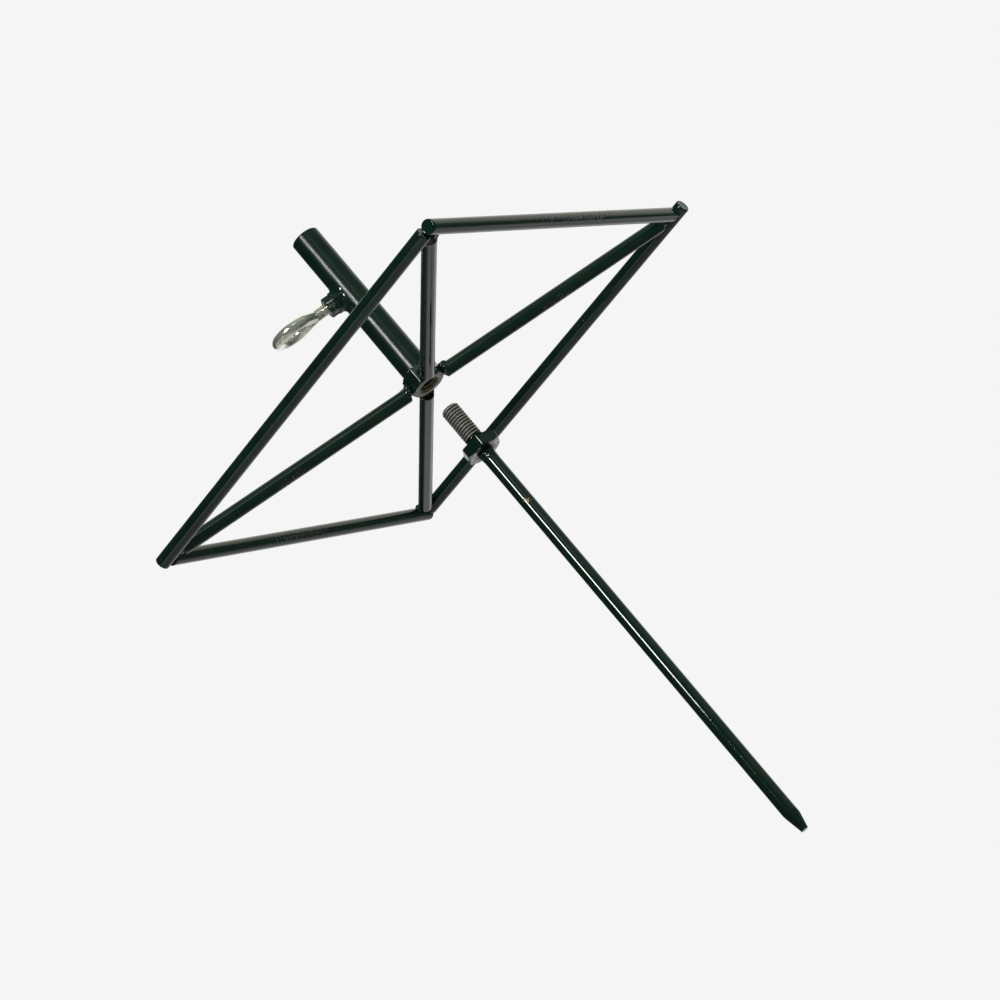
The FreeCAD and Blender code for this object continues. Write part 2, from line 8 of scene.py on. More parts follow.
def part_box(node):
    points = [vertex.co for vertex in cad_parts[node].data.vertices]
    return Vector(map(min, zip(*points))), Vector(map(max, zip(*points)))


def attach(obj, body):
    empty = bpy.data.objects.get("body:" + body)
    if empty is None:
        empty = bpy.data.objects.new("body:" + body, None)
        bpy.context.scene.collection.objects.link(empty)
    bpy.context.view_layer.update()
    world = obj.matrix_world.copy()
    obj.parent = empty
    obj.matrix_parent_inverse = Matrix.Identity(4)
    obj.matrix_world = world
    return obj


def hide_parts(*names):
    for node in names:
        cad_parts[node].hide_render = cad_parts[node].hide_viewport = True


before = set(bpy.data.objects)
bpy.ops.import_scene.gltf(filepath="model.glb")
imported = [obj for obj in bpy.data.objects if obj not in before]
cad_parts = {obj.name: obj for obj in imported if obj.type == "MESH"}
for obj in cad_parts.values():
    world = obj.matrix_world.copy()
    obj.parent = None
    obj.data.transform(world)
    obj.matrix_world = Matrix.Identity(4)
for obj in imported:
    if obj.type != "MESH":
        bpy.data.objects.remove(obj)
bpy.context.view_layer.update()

# Lengths below are in millimetres until a mesh is made, and in the row frame.
MM = 0.001
UP = Vector((0, 0, 1))


def box(node):
    """A CAD node's lowest and highest corner, in millimetres."""
    low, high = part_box(node)
    return low / MM, high / MM


def smooth(value, low, high):
    """0 below low, 1 above high, and an even curve between them."""
    t = min(1.0, max(0.0, (value - low) / (high - low)))
    return t * t * (3 - 2 * t)


def wander(point, scale, seed):
    """Smooth noise from -1 to 1 whose lumps are about scale millimetres wide."""
    return noise.noise(point / scale + Vector((seed * 7.31, seed * 3.17, seed * 5.53)))


# ---------------------------------------------------------------- materials


class Nodes:
    """A new node material, with short calls for the nodes that the finishes use."""

    def __init__(self, name):
        self.material = bpy.data.materials.new(name)
        self.material.use_nodes = True
        self.tree = self.material.node_tree
        self.shader = self.tree.nodes["Principled BSDF"]
        self.coords = self.tree.nodes.new("ShaderNodeTexCoord").outputs["Object"]

    def link(self, source, target):
        self.tree.links.new(source, target)

    def noise(self, size, detail=3.0, rough=0.5, distortion=0.0):
        """Noise whose lumps are about size millimetres wide, from 0 to 1."""
        node = self.tree.nodes.new("ShaderNodeTexNoise")
        node.inputs["Scale"].default_value = 1 / (size * MM)
        node.inputs["Detail"].default_value = detail
        node.inputs["Roughness"].default_value = rough
        node.inputs["Distortion"].default_value = distortion
        self.link(self.coords, node.inputs["Vector"])
        return node.outputs["Fac"]

    def cells(self, size):
        """Distance to the nearest of points about size millimetres apart."""
        node = self.tree.nodes.new("ShaderNodeTexVoronoi")
        node.inputs["Scale"].default_value = 1 / (size * MM)
        self.link(self.coords, node.inputs["Vector"])
        return node.outputs["Distance"]

    def span(self, source, low, high, out_low=0.0, out_high=1.0):
        """The source eased from out_low at low to out_high at high."""
        node = self.tree.nodes.new("ShaderNodeMapRange")
        node.interpolation_type = "SMOOTHSTEP"
        values = (low, high, out_low, out_high)
        for name, value in zip(("From Min", "From Max", "To Min", "To Max"), values):
            node.inputs[name].default_value = value
        self.link(source, node.inputs["Value"])
        return node.outputs["Result"]

    def ramp(self, source, stops):
        """The source as a colour. Each stop is a place from 0 to 1 and its colour."""
        node = self.tree.nodes.new("ShaderNodeValToRGB")
        band = node.color_ramp
        while len(band.elements) < len(stops):
            band.elements.new(0.5)
        for element, (place, colour) in zip(band.elements, stops):
            element.position = place
            element.color = (*colour, 1)
        self.link(source, node.inputs["Fac"])
        return node.outputs["Color"]

    def mix(self, amount, low, high):
        """A mix of two colours, each an output or a plain colour."""
        node = self.tree.nodes.new("ShaderNodeMix")
        node.data_type = "RGBA"
        self.link(amount, node.inputs["Factor"])
        for value, socket in ((low, node.inputs[6]), (high, node.inputs[7])):
            if isinstance(value, tuple):
                socket.default_value = (*value, 1)
            else:
                self.link(value, socket)
        return node.outputs[2]

    def maths(self, operation, first, second=None):
        node = self.tree.nodes.new("ShaderNodeMath")
        node.operation = operation
        for value, socket in ((first, node.inputs[0]), (second, node.inputs[1])):
            if isinstance(value, (int, float)):
                socket.default_value = value
            elif value is not None:
                self.link(value, socket)
        return node.outputs[0]

    def place(self, axis):
        """One coordinate of the point, in metres."""
        node = self.tree.nodes.new("ShaderNodeSeparateXYZ")
        self.link(self.coords, node.inputs[0])
        return node.outputs[axis]

    def bump(self, height, distance, under=None):
        """Bump of a height from 0 to 1, which distance millimetres stands for."""
        node = self.tree.nodes.new("ShaderNodeBump")
        node.inputs["Strength"].default_value = 1.0
        node.inputs["Distance"].default_value = distance * MM
        self.link(height, node.inputs["Height"])
        if under is not None:
            self.link(under, node.inputs["Normal"])
        return node.outputs["Normal"]

    def set(self, **values):
        """Sets sockets of the shader: Base_Color for "Base Color", and so on."""
        for name, value in values.items():
            socket = self.shader.inputs[name.replace("_", " ")]
            if isinstance(value, tuple):
                socket.default_value = (*value, 1)
            elif isinstance(value, (int, float)):
                socket.default_value = value
            else:
                self.link(value, socket)


GREEN = (0.0024, 0.0126, 0.0079)


def paint_finish(name, peel, grit, wear, shine=(0.045, 0.10), specular=0.5):
    """Dark green gloss enamel over steel. peel is the depth of its orange peel in mm,
    grit the depth of dust under it, wear the share of it that is chipped, shine its lowest
    and highest roughness, and specular its specular level."""
    n = Nodes(name)
    tone = n.ramp(
        n.noise(14, 4, 0.6),
        [(0.3, (0.0018, 0.0088, 0.0066)), (0.55, GREEN), (0.75, (0.0046, 0.0160, 0.0090))],
    )
    brown = n.span(n.noise(38, 3, 0.6), 0.56, 0.74)
    tone = n.mix(n.maths("MULTIPLY", brown, 0.45), tone, (0.012, 0.014, 0.007))
    fray = n.maths("MULTIPLY", n.noise(1.3, 3), 0.30)
    chips = n.span(n.maths("ADD", n.noise(12, 1), fray), 1.0 - wear, 1.015 - wear)
    rust = n.ramp(n.noise(1.1, 3), [(0.35, (0.10, 0.035, 0.012)), (0.6, (0.42, 0.30, 0.14))])
    n.set(Base_Color=n.mix(chips, tone, rust))
    gloss = n.span(n.noise(22, 4, 0.6), 0.3, 0.75, *shine)
    n.set(Roughness=n.maths("ADD", gloss, n.maths("MULTIPLY", chips, 0.5)), IOR=1.5)
    n.set(Specular_IOR_Level=specular)
    soft = n.bump(n.noise(4.2, 2), peel * 3)
    fine = n.bump(n.noise(1.05, 2), peel, under=soft)
    dust = n.span(n.cells(2.1), 0.05, 0.22, 1.0, 0.0)
    n.set(Normal=n.bump(dust, grit, under=fine))
    return n.material


def worn_paint_finish():
    """The enamel where it has blistered: dull, pitted, and brown where rust comes through."""
    n = Nodes("blistered_enamel")
    flecks = n.ramp(
        n.noise(1.15, 4, 0.65),
        [(0.38, (0.002, 0.006, 0.004)), (0.54, (0.010, 0.014, 0.010)), (0.70, (0.060, 0.052, 0.042))],
    )
    spots = n.span(n.noise(1.7, 2), 0.68, 0.73)
    n.set(Base_Color=n.mix(spots, flecks, (0.28, 0.22, 0.13)))
    n.set(Roughness=n.span(n.noise(1.3, 3), 0.35, 0.7, 0.12, 0.40))
    n.set(Normal=n.bump(n.noise(1.1, 3), 0.14))
    return n.material


def ground_face_finish():
    """Bare steel ground flat, gone yellow-brown in places."""
    n = Nodes("ground_steel")
    tint = n.ramp(
        n.noise(3.0, 4, 0.65),
        [(0.30, (0.060, 0.055, 0.032)), (0.50, (0.135, 0.130, 0.105)), (0.72, (0.27, 0.265, 0.245))],
    )
    n.set(Base_Color=tint, Metallic=0.85)
    n.set(Roughness=n.span(n.noise(1.2, 3), 0.3, 0.7, 0.34, 0.55))
    n.set(Normal=n.bump(n.noise(0.5, 3), 0.05))
    return n.material


def rusty_thread_finish():
    """The nut's own thread: oily brown steel."""
    n = Nodes("nut_thread_steel")
    tint = n.ramp(
        n.noise(2.0, 4, 0.6),
        [(0.3, (0.030, 0.022, 0.012)), (0.52, (0.11, 0.088, 0.045)), (0.75, (0.26, 0.23, 0.12))],
    )
    n.set(Base_Color=tint, Metallic=0.4, Roughness=n.span(n.noise(1.0, 2), 0.3, 0.7, 0.35, 0.6))
    n.set(Normal=n.bump(n.noise(0.6, 3), 0.06))
    return n.material


def shaded_thread_finish(crest):
    """Dull grey-brown steel thread, painted dark in its roots and light on its crests: painted shade
    of the thread's own relief. crest is in mm.
    """
    n = Nodes("thread_steel_root_shade")
    x, y = n.place("X"), n.place("Y")
    out = n.maths("ADD", n.maths("MULTIPLY", x, x), n.maths("MULTIPLY", y, y))
    reach = n.maths("MULTIPLY", n.maths("SQRT", out), 1 / (crest * MM))
    grime = n.maths("MULTIPLY", n.maths("SUBTRACT", n.noise(1.4, 4, 0.6), 0.5), 0.16)
    # colour by distance from the axis: painted shade down in the thread's roots, lighter towards the
    # crests
    tint = n.ramp(
        n.span(n.maths("ADD", reach, grime), 0.83, 0.97),
        [(0.05, (0.054, 0.049, 0.040)), (0.6, (0.135, 0.126, 0.108)), (1.0, (0.225, 0.215, 0.190))],
    )
    n.set(Base_Color=tint, Metallic=0.35)
    n.set(Roughness=n.span(n.noise(1.8, 3), 0.3, 0.7, 0.55, 0.72))
    n.set(Normal=n.bump(n.noise(0.45, 3), 0.02))
    return n.material


def bright_steel_finish():
    """Bare ground steel on the bolt head's chamfer and lower face."""
    n = Nodes("bright_steel")
    tint = n.ramp(
        n.noise(4.0, 4, 0.6),
        [(0.28, (0.15, 0.135, 0.12)), (0.45, (0.33, 0.325, 0.32)), (0.75, (0.50, 0.49, 0.50))],
    )
    n.set(Base_Color=tint, Metallic=0.9)
    n.set(Roughness=n.span(n.noise(1.5, 3), 0.3, 0.7, 0.28, 0.45))
    n.set(Normal=n.bump(n.noise(0.7, 3), 0.04))
    return n.material


def zinc_finish():
    """Bright zinc plate with a faint yellow tint, slightly dented from forging."""
    n = Nodes("zinc_plate_finish")
    tint = n.ramp(
        n.noise(5.0, 4, 0.6, 0.4),
        [(0.30, (0.66, 0.66, 0.54)), (0.52, (0.80, 0.80, 0.71)), (0.75, (0.90, 0.90, 0.87))],
    )
    n.set(Base_Color=tint, Metallic=0.86)
    n.set(Roughness=n.span(n.noise(3.4, 3), 0.3, 0.7, 0.12, 0.22))
    n.set(Normal=n.bump(n.noise(7.0, 1), 0.06))
    return n.material


PAINT = paint_finish("green_enamel", 0.0035, 0.006, 0.035)
TUBE_PAINT = paint_finish("green_enamel_tube", 0.007, 0.014, 0.02, (0.21, 0.28), 0.28)
WELD_PAINT = paint_finish("green_enamel_welds", 0.008, 0.018, 0.09)
WORN_PAINT = worn_paint_finish()
GROUND_STEEL = ground_face_finish()
NUT_THREAD = rusty_thread_finish()
BRIGHT_STEEL = bright_steel_finish()
ZINC = zinc_finish()


# ---------------------------------------------------------------- mesh tools


def finish_piece(name, mesh, materials, body, nodes, crease=40):
    """Makes the piece from its mesh, shades it, ties it to its CAD body and hides the CAD nodes it
    stands in for.
    """
    for material in materials:
        mesh.materials.append(material)
    mesh.polygons.foreach_set("use_smooth", [True] * len(mesh.polygons))
    mesh.set_sharp_from_angle(angle=math.radians(crease))
    piece = bpy.data.objects.new(name, mesh)
    bpy.context.scene.collection.objects.link(piece)
    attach(piece, body)
    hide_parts(*nodes)
    return piece


def skin(name, rings, ring_materials=None, closed=False):
    """A mesh through rings of points, capped at both ends or closed on itself.
    ring_materials gives the material number of each band of faces between two rings."""
    work = bmesh.new()
    rows = [[work.verts.new(point * MM) for point in ring] for ring in rings]
    bands = len(rows) if closed else len(rows) - 1
    for k in range(bands):
        low, high = rows[k], rows[(k + 1) % len(rows)]
        count = len(low)
        for i in range(count):
            j = (i + 1) % count
            face = work.faces.new((low[i], low[j], high[j], high[i]))
            if ring_materials:
                face.material_index = ring_materials[k]
    if not closed:
        work.faces.new(list(reversed(rows[0])))
        work.faces.new(rows[-1])
        if ring_materials:
            work.faces.ensure_lookup_table()
            work.faces[-2].material_index = ring_materials[0]
            work.faces[-1].material_index = ring_materials[-1]
    bmesh.ops.recalc_face_normals(work, faces=work.faces)
    mesh = bpy.data.meshes.new(name)
    work.to_mesh(mesh)
    work.free()
    return mesh


def axes_of(direction):
    """Side, upper and lengthwise directions of something that runs along direction."""
    along = direction.normalized()
    side = along.cross(UP)
    side = side.normalized() if side.length > 1e-6 else Vector((1, 0, 0))
    return side, side.cross(along), along


def turned(radians, side, top):
    """A direction turned from side towards top."""
    return side * math.cos(radians) + top * math.sin(radians)


def remeshed(name, fill, voxel, rounds, lump, seed):
    """One closed skin round the solids that fill() adds to a bmesh, in millimetres,
    smoothed, and with soft lumps of a given depth, as run weld metal has."""
    work = bmesh.new()
    fill(work)
    bmesh.ops.scale(work, vec=(MM, MM, MM), verts=work.verts)
    mesh = bpy.data.meshes.new(name + "_solids")
    work.to_mesh(mesh)
    work.free()
    rough = bpy.data.objects.new(name + "_solids", mesh)
    bpy.context.scene.collection.objects.link(rough)
    remesh = rough.modifiers.new("skin", "REMESH")
    remesh.mode = "VOXEL"
    remesh.voxel_size = voxel * MM
    relax = rough.modifiers.new("relax", "SMOOTH")
    relax.factor = 0.5
    relax.iterations = rounds
    shape = bpy.data.meshes.new_from_object(
        rough.evaluated_get(bpy.context.evaluated_depsgraph_get())
    )
    bpy.data.objects.remove(rough)
    bpy.data.meshes.remove(mesh)
    normals = [v.normal.copy() for v in shape.vertices]
    for vertex, normal in zip(shape.vertices, normals):
        point = vertex.co / MM
        swell = wander(point, 3.1, seed) * lump + wander(point, 1.1, seed + 3) * lump * 0.45
        vertex.co += normal * swell * MM
    shape.name = name
    return shape


def drilled(name, mesh, start, end, radius):
    """The mesh with a round hole cut through it between two points."""
    cutter = bmesh.new()
    rod_between(cutter, start, end, radius, radius, 64)
    bmesh.ops.recalc_face_normals(cutter, faces=cutter.faces)
    bmesh.ops.scale(cutter, vec=(MM, MM, MM), verts=cutter.verts)
    cutter_mesh = bpy.data.meshes.new(name + "_drill")
    cutter.to_mesh(cutter_mesh)
    cutter.free()
    drill = bpy.data.objects.new(name + "_drill", cutter_mesh)
    stock = bpy.data.objects.new(name + "_stock", mesh)
    for thing in (drill, stock):
        bpy.context.scene.collection.objects.link(thing)
    cut = stock.modifiers.new("hole", "BOOLEAN")
    cut.operation = "DIFFERENCE"
    cut.solver = "EXACT"
    cut.object = drill
    shape = bpy.data.meshes.new_from_object(
        stock.evaluated_get(bpy.context.evaluated_depsgraph_get())
    )
    for thing in (drill, stock):
        bpy.data.objects.remove(thing)
    for used in (cutter_mesh, mesh):
        bpy.data.meshes.remove(used)
    shape.name = name
    return shape


def ball(work, centre, radii, along=None):
    """Adds an ellipsoid to a bmesh: radii across, up and along a direction."""
    side, top, ahead = axes_of(along or Vector((1, 0, 0)))
    turn = Matrix((side, top, ahead)).transposed().to_4x4()
    scale = Matrix.Diagonal((*radii, 1))
    matrix = Matrix.Translation(centre) @ turn @ scale
    bmesh.ops.create_icosphere(work, subdivisions=3, radius=1, matrix=matrix)


def rod_between(work, start, end, start_radius, end_radius, segments=40):
    """Adds a cone or cylinder between two points to a bmesh."""
    way = end - start
    side, top, ahead = axes_of(way)
    turn = Matrix((side, top, ahead)).transposed().to_4x4()
    matrix = Matrix.Translation((start + end) / 2) @ turn
    bmesh.ops.create_cone(
        work,
        cap_ends=True,
        segments=segments,
        radius1=start_radius,
        radius2=end_radius,
        depth=way.length,
        matrix=matrix,
    )


def swept(work, path, upright, radius, segments=56):
    """Adds a round wire along a flat path to a bmesh. upright stands on the path's plane."""
    rows = []
    for k, point in enumerate(path):
        way = (path[min(k + 1, len(path) - 1)] - path[max(k - 1, 0)]).normalized()
        aside = way.cross(upright).normalized()
        turns = [2 * math.pi * i / segments for i in range(segments)]
        rows.append([work.verts.new(point + turned(t, aside, upright) * radius) for t in turns])
    for low, high in zip(rows, rows[1:]):
        for i in range(segments):
            j = (i + 1) % segments
            work.faces.new((low[i], low[j], high[j], high[i]))
    work.faces.new(list(reversed(rows[0])))
    work.faces.new(rows[-1])
    bmesh.ops.recalc_face_normals(work, faces=work.faces)


# ---------------------------------------------------------------- bars

BAR_SEGMENTS = 56
END_ROUND = 0.8
SKIN_BACK = 0.11
WORN_THROUGH = 0.42


def bar_line(node):
    """Centre line of a bar from its CAD box: its ends and its radius."""
    low, high = box(node)
    centre, span = (low + high) / 2, high - low
    radius = span.z / 2
    if min(span.x, span.y) > 3 * span.z:
        out = Vector((math.copysign(1, centre.x), math.copysign(1, centre.y), 0)).normalized()
        half = (span.x * math.sqrt(2) - 2 * radius) / 2
    elif span.x > span.y:
        out, half = Vector((math.copysign(1, -centre.y), 0, 0)), span.x / 2
    else:
        out, half = Vector((0, math.copysign(1, centre.x), 0)), span.y / 2
    return centre - out * half, centre + out * half, radius


def end_stations(radius):
    """Distance in from a cut end, and radius, from the middle of its face outwards."""
    flat = radius - END_ROUND
    stations = [(0.0, flat * share) for share in (0.02, 0.35, 0.7, 0.93)]
    for k in range(6):
        turn = math.radians(18 * k)
        stations.append(
            (END_ROUND * (1 - math.cos(turn)), flat + END_ROUND * math.sin(turn))
        )
    return stations


def from_patch(along, turn, middle, half, degrees, spread):
    """How far a point of a bar is from a patch's middle, along the bar as a share of the
    patch's half length, and round the bar as a share of its spread."""
    away = abs(along - middle) / half
    round_it = abs((math.degrees(turn) - degrees + 180) % 360 - 180) / spread
    return away, round_it


def blister_height(point, along, turn, blisters):
    """Height of the paint's blisters at a point of a bar."""
    height = 0.0
    for *patch, depth in blisters:
        away, round_it = from_patch(along, turn, *patch)
        if away > 1 or round_it > 1:
            continue
        inside = smooth(1 - away, 0, 0.4) * smooth(1 - round_it, 0, 0.5)
        cell = noise.voronoi(point / 1.25)[0][0]
        bump = smooth(0.62 - cell, 0, 0.5) * smooth(wander(point, 2.6, 4) + 0.35, 0.1, 0.6)
        height += depth * inside * (bump - 0.25)
    return height


def worn_share(point, along, turn, patches):
    """How worn the paint is at a point of a bar: above WORN_THROUGH it has gone."""
    worn = 0.0
    for patch in patches:
        away, round_it = from_patch(along, turn, *patch)
        worn = max(worn, min(1 - away, 1 - round_it))
    return worn + 0.5 * wander(point, 3.2, 9) + 0.3 * wander(point, 1.2, 10)


def wear_faces(mesh, start, end, patches):
    """Gives the worn finish to the faces of a bar's worn patches."""
    side, top, along = axes_of(end - start)
    for polygon in mesh.polygons:
        point = polygon.center / MM
        away = point - start
        turn = math.atan2(away.dot(top), away.dot(side))
        if worn_share(point, away.dot(along), turn, patches) > WORN_THROUGH:
            polygon.material_index = 1


def bar_rings(start, end, radius, seed, blisters=()):
    """Rings of points down a painted round bar, blistered where blisters says."""
    side, top, along = axes_of(end - start)
    length = (end - start).length
    stations = end_stations(radius)
    cut = stations[-1][0]
    x = cut
    last = length - cut
    while x < last - 0.6:
        near = any(abs(x - middle) < half + 1 for middle, half, *_ in blisters)
        x += 0.42 if near else 1.15
        stations.append((min(x, last - 0.3), radius))
    stations += [(length - inwards, r) for inwards, r in reversed(end_stations(radius))]
    rings = []
    for place, r in stations:
        centre = start + along * place
        ring = []
        for i in range(BAR_SEGMENTS):
            turn = 2 * math.pi * i / BAR_SEGMENTS
            out = turned(turn, side, top)
            point = centre + out * r
            wave = wander(point, 12, seed) * 0.030 + wander(point, 2.8, seed + 1) * 0.005
            rise = wave + blister_height(point, place, turn, blisters) - SKIN_BACK
            share = min(1.0, r / radius)
            ring.append(centre + out * (r + rise * share))
        rings.append(ring)
    # the cut faces are a little uneven, and stay inside the bar's length
    for k in (0, 1, 2, 3, -1, -2, -3, -4):
        push = along if k >= 0 else -along
        rings[k] = [p + push * (0.17 + 0.05 * wander(p, 2.0, seed + 5)) for p in rings[k]]
    return rings


# Each patch is its middle along the bar, its half length, its middle round the bar in
# degrees and its spread in degrees. A patch of blisters has its depth as well.
BLISTERS = {
    "side_bar_front": [(158, 48, -30, 34, 0.16)],
    "side_bar_back": [(160, 44, 214, 34, 0.16)],
    "spoke_front_right": [(88, 17, -70, 46, 0.34)],
    "spoke_back_left": [(95, 15, 248, 46, 0.30)],
}
WORN = {
    "side_bar_front": [(168, 40, -34, 14)],
    "side_bar_back": [(160, 36, 212, 14)],
    "spoke_front_right": [(88, 20, -62, 44)],
    "spoke_back_left": [(95, 18, 242, 44)],
    "side_bar_left": [(129, 3, -28, 24)],
}

SIDES = ("front", "right", "back", "left")
CORNERS = ("front_left", "front_right", "back_right", "back_left")

for number, place in enumerate(
    [f"side_bar_{side}" for side in SIDES] + [f"spoke_{corner}" for corner in CORNERS]
):
    begin, finish, bar_radius = bar_line(place)
    rings = bar_rings(begin, finish, bar_radius, 11 + number, BLISTERS.get(place, ()))
    bar_mesh = skin(place + "_mesh", rings)
    wear_faces(bar_mesh, begin, finish, WORN.get(place, ()))
    finish_piece(
        f"painted_{place}", bar_mesh, [PAINT, WORN_PAINT], "frame", [place]
    )


# ---------------------------------------------------------------- nuts, threads and bolts


def hexagon_reach(turn, flats, corner_degrees, power=34):
    """Radius of a hexagon with slightly rounded corners at a turn in radians."""
    total = 0.0
    for k in range(6):
        face = math.radians(corner_degrees + 30 + 60 * k)
        total += max(0.0, math.cos(turn - face)) ** power
    return flats / 2 / total ** (1 / power)


def thread_reach(along, turn, crest, root, pitch):
    """Radius of a right-hand thread at a place along its axis and a turn round it."""
    phase = (along / pitch - turn / (2 * math.pi)) % 1.0
    flank = abs(phase - 0.5) * 2
    return root + (crest - root) * smooth(flank, 0.08, 0.74)


STUD_PITCH = 25.4 / 12
STUD_CREST = 6.35
STUD_ROOT = 5.22
NUT_PLAY = 0.10
HUB_TURNS = 216

nut_low, nut_high = box("hub_nut")
tube_low, tube_high = box("socket_tube")
bolt_low, bolt_high = box("spike_bolt")
rod_low, rod_high = box("spike_rod")
HEX_FLATS = 23.4
HUB_CORNERS = 15.0
HEAD_CORNERS = 38.0
HEAD_HEIGHT = 8.0
CHAMFER_INSET = 0.3
CHAMFER_SLOPE = math.tan(math.radians(60))


def chamfered(turn, height, low, high, flats, corners, bottom, top):
    """Radius of a hexagon cut back by a 30 degree cone at its lower or upper face."""
    reach = hexagon_reach(turn, flats, corners)
    edge = flats / 2 - CHAMFER_INSET
    if bottom:
        reach = min(reach, edge + (height - low) * CHAMFER_SLOPE)
    if top:
        reach = min(reach, edge + (high - height) * CHAMFER_SLOPE)
    return reach


def ring_at(height, reach, count=HUB_TURNS):
    """A ring round the hub's axis whose radius is reach(turn, height)."""
    ring = []
    for i in range(count):
        turn = 2 * math.pi * i / count
        r = reach(turn, height)
        ring.append(Vector((r * math.cos(turn), r * math.sin(turn), height)))
    return ring


def spaced(low, high, count):
    """Evenly spaced numbers from low to high, with both."""
    return [low + (high - low) * k / (count - 1) for k in range(count)]


def make_hub_nut():
    """The hub nut, countersunk and ground at its lower face."""
    low, high = nut_low.z, nut_high.z
    wall = spaced(low, high, 34)
    sink, top_sink = 1.35, 0.4

    def outside(turn, z):
        r = chamfered(turn, z, low, high, HEX_FLATS, HUB_CORNERS, True, True)
        p = Vector((r * math.cos(turn), r * math.sin(turn), z))
        return r - 0.06 + wander(p, 5, 31) * 0.10 + wander(p, 1.5, 32) * 0.05

    def bore(turn, z):
        r = thread_reach(z, turn, STUD_CREST, STUD_ROOT, STUD_PITCH) + NUT_PLAY
        return max(r, STUD_CREST + sink - (z - low), STUD_CREST + top_sink - (high - z))

    def face(z, share):
        """A ring on a flat face, a share of the way in from the outside to the bore."""
        return ring_at(z, lambda turn, h: outside(turn, h) * (1 - share) + bore(turn, h) * share)

    ground, painted, thread = 0, 1, 2
    rings = [ring_at(z, outside) for z in wall]
    marks = [painted] * (len(wall) - 1)
    rings += [face(high, share) for share in (0.25, 0.6)]
    marks += [painted] * 3
    down = spaced(high, low, 86)
    rings += [ring_at(z, bore) for z in down]
    marks += [thread] * (len(down) - 1)
    rings += [face(low, share) for share in (0.7, 0.35, 0.1)]
    marks += [ground] * 4
    mesh = skin("hub_nut_mesh", rings, marks, closed=True)
    finishes = [GROUND_STEEL, WELD_PAINT, NUT_THREAD]
    finish_piece("hub_nut_painted", mesh, finishes, "frame", ["hub_nut"], 35)


def make_bolt_head():
    """The bolt's hexagon head, painted, with some bare steel at its lower edge."""
    low = bolt_low.z
    high = low + HEAD_HEIGHT

    def outside(turn, z):
        r = chamfered(turn, z, low, high, HEX_FLATS, HEAD_CORNERS, True, False)
        p = Vector((r * math.cos(turn), r * math.sin(turn), z))
        return r - 0.05 + wander(p, 6, 41) * 0.04

    def face(z, shares):
        return [ring_at(z, lambda turn, height, f=f: outside(turn, height) * f) for f in shares]

    rings = face(low, (0.02, 0.42, 0.7, 0.9, 0.97))
    rings += [ring_at(z, outside) for z in spaced(low, high, 26)]
    rings += face(high, (0.97, 0.85, 0.6, 0.3, 0.02))
    mesh = skin("bolt_head_mesh", rings)
    bevel_marks(mesh, low)
    finish_piece("bolt_head", mesh, [PAINT, BRIGHT_STEEL], "spike", ["spike_bolt"], 30)


def bevel_marks(mesh, low):
    """Bare steel on the head's chamfer and the rim of its lower face. The paint round the
    rod runs out over the rim at one side."""
    covered = math.radians(232)
    for polygon in mesh.polygons:
        z = polygon.center.z / MM
        r = math.hypot(polygon.center.x, polygon.center.y) / MM
        turn = math.atan2(polygon.center.y, polygon.center.x)
        flat = hexagon_reach(turn, HEX_FLATS, HEAD_CORNERS)
        cone = HEX_FLATS / 2 - CHAMFER_INSET + (z - low) * CHAMFER_SLOPE
        bare = z < low + 0.02 or cone < flat - 0.12
        ragged = wander(polygon.center / MM, 2.2, 43)
        painted = r < 8.9 + 0.7 * ragged or math.cos(turn - covered) > 0.88 + 0.07 * ragged
        polygon.material_index = 1 if bare and not painted else 0


def make_stud():
    """The screw end: its thread, and the painted stretch next to the head."""
    head_top = bolt_low.z + HEAD_HEIGHT
    low, high = head_top - 0.4, bolt_high.z
    painted_top = head_top + 4.4
    chamfer = 1.15
    heights = spaced(low, high, 250)

    def outside(turn, z):
        fade = smooth(z, head_top + 0.3, head_top + 1.6)
        thread = thread_reach(z, turn, STUD_CREST - 0.02, STUD_ROOT, STUD_PITCH)
        r = thread * fade + (STUD_CREST - 0.25) * (1 - fade)
        r = min(r, STUD_CREST - chamfer + (high - z) * 1.0)
        p = Vector((r * math.cos(turn), r * math.sin(turn), z))
        return r + wander(p, 1.6, 51) * 0.035 - 0.02

    rings = [ring_at(z, outside, 96) for z in heights]
    marks = [1 if z < painted_top else 0 for z in heights]
    rings += [ring_at(high, lambda t, z, f=f: outside(t, z) * f, 96) for f in (0.9, 0.6, 0.3, 0.03)]
    marks += [0] * 4
    mesh = skin("bolt_stud_mesh", rings, marks)
    finish_piece(
        "bolt_stud", mesh, [shaded_thread_finish(STUD_CREST), PAINT], "spike", ["spike_bolt"], 50
    )


def make_spike_rod():
    """The spike's rod, its end ground to a blunt point with flats."""
    start, end = rod_high.z, rod_low.z
    radius = (rod_high.x - rod_low.x) / 2
    point_length, point_radius = 15.0, 2.3
    flats = 7

    def outside(turn, z):
        p = Vector((radius * math.cos(turn), radius * math.sin(turn), z))
        r = radius - 0.03 + wander(p, 16, 61) * 0.02 + wander(p, 3.0, 62) * 0.003
        cone = point_radius + (z - end) * (radius - point_radius) / point_length
        grind = 0.0
        for k in range(flats):
            face = 2 * math.pi * (k + 0.35 + 0.18 * math.sin(2.1 * k)) / flats
            grind = max(grind, math.cos(turn - face) / (cone + 0.22 * math.sin(1.7 * k)))
        ground = 1 / grind
        return min(r, ground)

    heights = spaced(start, end + point_length + 3, 300) + spaced(end + point_length + 2.7, end, 70)
    rings = [ring_at(start, lambda t, z: 0.3, 64)]
    rings += [ring_at(z, outside, 64) for z in heights]
    rings += [ring_at(end, lambda t, z, f=f: outside(t, z) * f, 64) for f in (0.92, 0.6, 0.3, 0.03)]
    mesh = skin("spike_rod_mesh", rings)
    finish_piece("painted_spike_rod", mesh, [PAINT], "spike", ["spike_rod"], 28)


make_hub_nut()
make_bolt_head()
make_stud()
make_spike_rod()


# ---------------------------------------------------------------- socket tube, clamp nut and eye bolt

